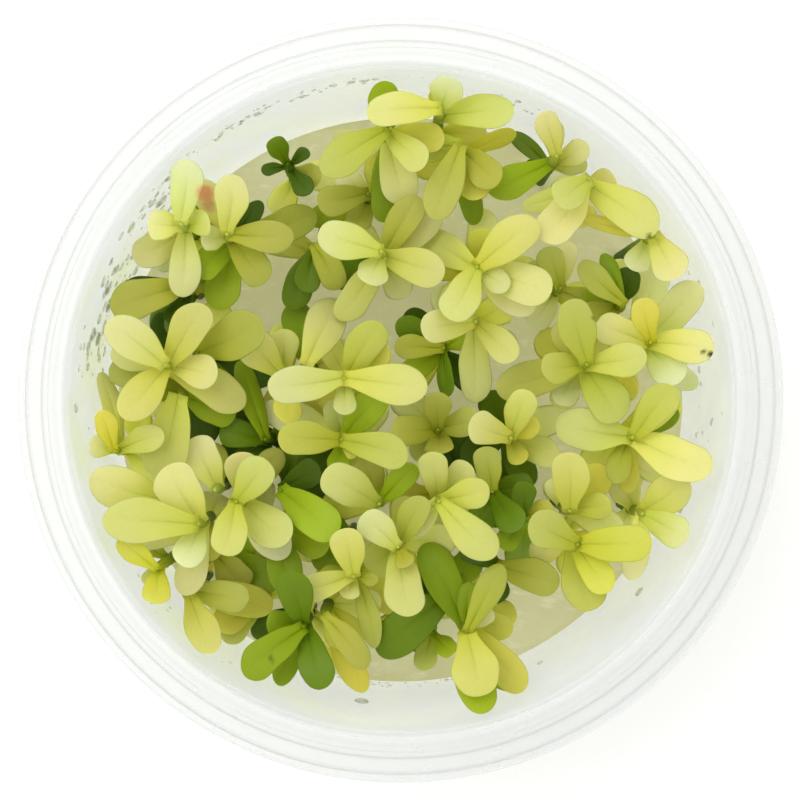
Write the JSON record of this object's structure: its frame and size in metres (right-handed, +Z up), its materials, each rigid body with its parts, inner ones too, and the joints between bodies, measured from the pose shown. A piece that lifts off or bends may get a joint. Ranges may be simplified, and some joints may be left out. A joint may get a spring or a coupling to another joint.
{
  "type": "water hyssop in a culture cup",
  "caption": "Golden variegated water hyssop shoots crowded in a clear round culture cup, rooted in set gel.",
  "frame": {"origin": "centre of the cup's foot, on the surface that it stands on", "axes": "+Z up out of the cup, +Y towards the top of the view from above, +X to its right"},
  "size_m": [0.1, 0.1, 0.046],
  "materials": {
    "cup_plastic": "clear moulded polypropylene, slightly milky",
    "set_gel": "cloudy set agar, wet",
    "leaf_pale": "cream and pale yellow leaf, satin",
    "leaf_yellow": "yellow leaf, satin",
    "leaf_green": "green leaf, satin"
  },
  "bodies": {
    "root": {"cup": "cup_plastic", "gel": "set_gel", "shoot_centre_1": "leaf_pale", "shoot_centre_2": "leaf_pale", "shoot_centre_3": "leaf_pale", "shoot_centre_4": "leaf_green", "shoot_centre_5": "leaf_pale", "shoot_centre_6": "leaf_green", "shoot_centre_7": "leaf_pale", "shoot_centre_8": "leaf_green", "shoot_east_1": "leaf_pale", "shoot_east_2": "leaf_pale", "shoot_east_3": "leaf_pale", "shoot_east_4": "leaf_pale", "shoot_mid_1": "leaf_pale", "shoot_mid_2": "leaf_pale", "shoot_ne_1": "leaf_pale", "shoot_ne_2": "leaf_yellow", "shoot_ne_3": "leaf_yellow", "shoot_ne_4": "leaf_green", "shoot_ne_5": "leaf_green", "shoot_north_1": "leaf_pale", "shoot_north_2": "leaf_pale", "shoot_north_3": "leaf_pale", "shoot_nw_1": "leaf_pale", "shoot_nw_2": "leaf_pale", "shoot_nw_3": "leaf_green", "shoot_nw_4": "leaf_green", "shoot_nw_5": "leaf_green", "shoot_nw_6": "leaf_yellow", "shoot_se_1": "leaf_pale", "shoot_se_2": "leaf_yellow", "shoot_se_3": "leaf_green", "shoot_south_1": "leaf_green", "shoot_south_10": "leaf_yellow", "shoot_south_11": "leaf_green", "shoot_south_12": "leaf_green", "shoot_south_2": "leaf_yellow", "shoot_south_3": "leaf_pale", "shoot_south_4": "leaf_pale", "shoot_south_5": "leaf_pale", "shoot_south_6": "leaf_pale", "shoot_south_7": "leaf_green", "shoot_south_8": "leaf_green", "shoot_south_9": "leaf_green", "shoot_sw_1": "leaf_pale", "shoot_sw_2": "leaf_pale", "shoot_sw_3": "leaf_yellow", "shoot_sw_4": "leaf_yellow", "shoot_sw_5": "leaf_yellow", "shoot_sw_6": "leaf_green", "shoot_sw_7": "leaf_green", "shoot_sw_8": "leaf_green", "shoot_west_1": "leaf_pale", "shoot_west_2": "leaf_yellow", "shoot_west_3": "leaf_yellow", "shoot_west_4": "leaf_yellow", "shoot_west_5": "leaf_pale", "shoot_west_6": "leaf_green", "shoot_west_7": "leaf_green"}
  },
  "joints": []
}
